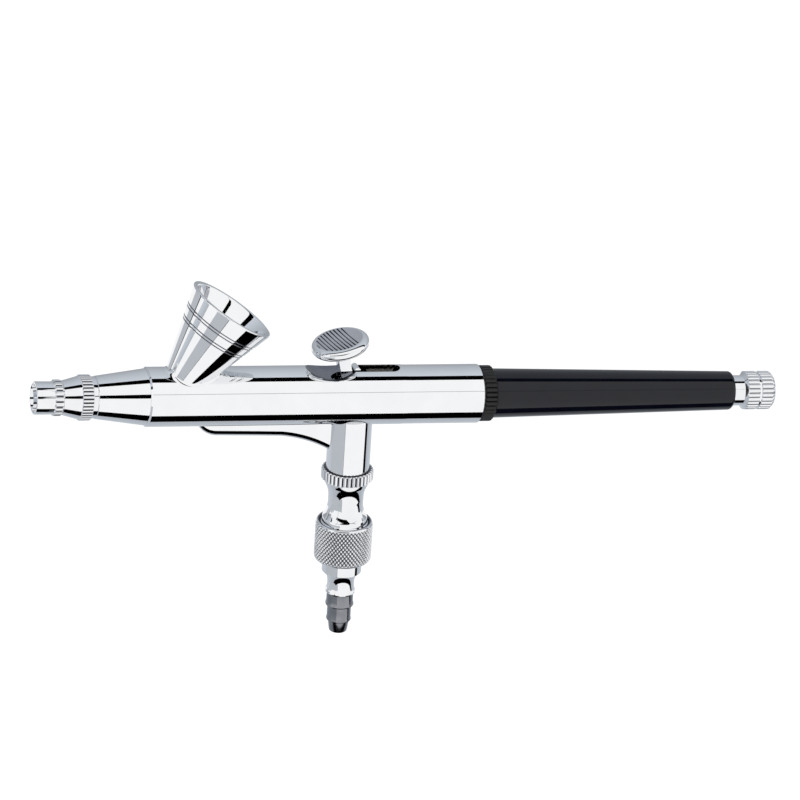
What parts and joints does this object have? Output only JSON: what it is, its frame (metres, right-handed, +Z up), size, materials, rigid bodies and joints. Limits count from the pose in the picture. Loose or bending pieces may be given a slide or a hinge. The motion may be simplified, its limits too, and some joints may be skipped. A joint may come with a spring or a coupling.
{
  "type": "airbrush gun",
  "caption": "Dual-action gravity-feed airbrush with a conical paint cup, press-and-pull trigger, tapered handle and a threaded hose tail on its air stem.",
  "frame": {"origin": "where the air stem's axis meets the barrel's axis", "axes": "+X along the barrel from nozzle to handle, +Z up through the trigger and paint cup side, +Y across the barrel"},
  "size_m": [0.155, 0.0184, 0.0764],
  "materials": {
    "chrome_body": "mirror-polished chrome plate",
    "chrome_trim": "polished chrome plate on knurled parts",
    "nickel_brass": "turned, thinly nickel-plated brass",
    "polished_steel": "ground and polished",
    "spring_steel": "drawn wire",
    "black_lacquer": "high-gloss black",
    "black_knurl": "semi-gloss black over knurling",
    "ptfe": "white, waxy",
    "seal_rubber": "matt black",
    "fibre_washer": "matt red-brown"
  },
  "bodies": {
    "airbrush_body": {"main_body": "chrome_body", "head": "chrome_body", "head_seal": "ptfe", "nozzle": "nickel_brass", "nozzle_seal": "ptfe", "nozzle_cap": "chrome_trim", "needle_cap": "chrome_trim", "paint_cup": "chrome_body", "air_stem": "chrome_body", "needle_packing": "ptfe", "packing_screw": "nickel_brass", "valve_body": "chrome_trim", "valve_guide_screw": "nickel_brass", "valve_spring": "spring_steel", "needle_spring": "spring_steel", "spring_case": "nickel_brass", "handle_collar": "black_knurl", "handle": "black_lacquer"},
    "valve_rod": {"valve_plunger": "nickel_brass", "plunger_seal": "seal_rubber", "trigger_pin": "polished_steel"},
    "trigger": {"trigger": "chrome_trim"},
    "needle_carrier": {"needle": "polished_steel", "needle_chuck_guide": "nickel_brass", "needle_chuck_nut": "nickel_brass", "lever_pin": "polished_steel"},
    "auxiliary_lever": {"auxiliary_lever": "chrome_trim"},
    "limit_seal": {"limit_oring": "seal_rubber"},
    "limit_knob": {"limit_knob": "chrome_trim", "limit_screw": "nickel_brass"},
    "hose_tail": {"hose_barb": "chrome_trim", "barb_washer": "fibre_washer"},
    "coupling_nut": {"coupling_nut": "chrome_trim"}
  },
  "joints": [
    {"name": "valve_press", "type": "slide", "parent": "airbrush_body", "child": "valve_rod", "axis": [0.061, 0, -0.9981], "range_m": [0, 0.0018], "stiffness_N_per_m": 900, "springref_m": -0.0025, "deforming": ["valve_spring"]},
    {"name": "needle_slide", "type": "slide", "parent": "airbrush_body", "child": "needle_carrier", "axis": [1, 0, 0], "range_m": [0, 0.003], "stiffness_N_per_m": 300, "springref_m": -0.005, "deforming": ["needle_spring"]},
    {"name": "trigger_pull", "type": "hinge", "parent": "valve_rod", "child": "trigger", "pos_m": [0.00016, 0, -0.0026], "axis": [0, 1, 0], "range_deg": [0, 25.01]},
    {"name": "lever_swing", "type": "hinge", "parent": "needle_carrier", "child": "auxiliary_lever", "pos_m": [0.00225, 0, -0.0016], "axis": [0, 1, 0], "range_deg": [0, 11.01]},
    {"name": "limit_advance", "type": "slide", "parent": "airbrush_body", "child": "limit_seal", "axis": [1, 0, 0], "range_m": [-0.001, 0.003]},
    {"name": "limit_turn", "type": "hinge", "parent": "limit_seal", "child": "limit_knob", "pos_m": [0.085, 0, 0], "axis": [1, 0, 0], "range_deg": [-720.01, 2160.01]},
    {"name": "coupling_advance", "type": "slide", "parent": "airbrush_body", "child": "hose_tail", "axis": [0.061, 0, -0.9981], "range_m": [0, 0.00272]},
    {"name": "coupling_turn", "type": "hinge", "parent": "hose_tail", "child": "coupling_nut", "pos_m": [0.00195, 0, -0.03194], "axis": [0.061, 0, -0.9981], "range_deg": [0, 1080.01]}
  ],
  "couplings": [
    {"joint": "trigger_pull", "follows": "needle_slide", "rad_per_m": 145.44},
    {"joint": "lever_swing", "follows": "needle_slide", "rad_per_m": 63.995},
    {"joint": "limit_turn", "follows": "limit_advance", "rad_per_m": 12566},
    {"joint": "coupling_turn", "follows": "coupling_advance", "rad_per_m": 6927.4}
  ]
}
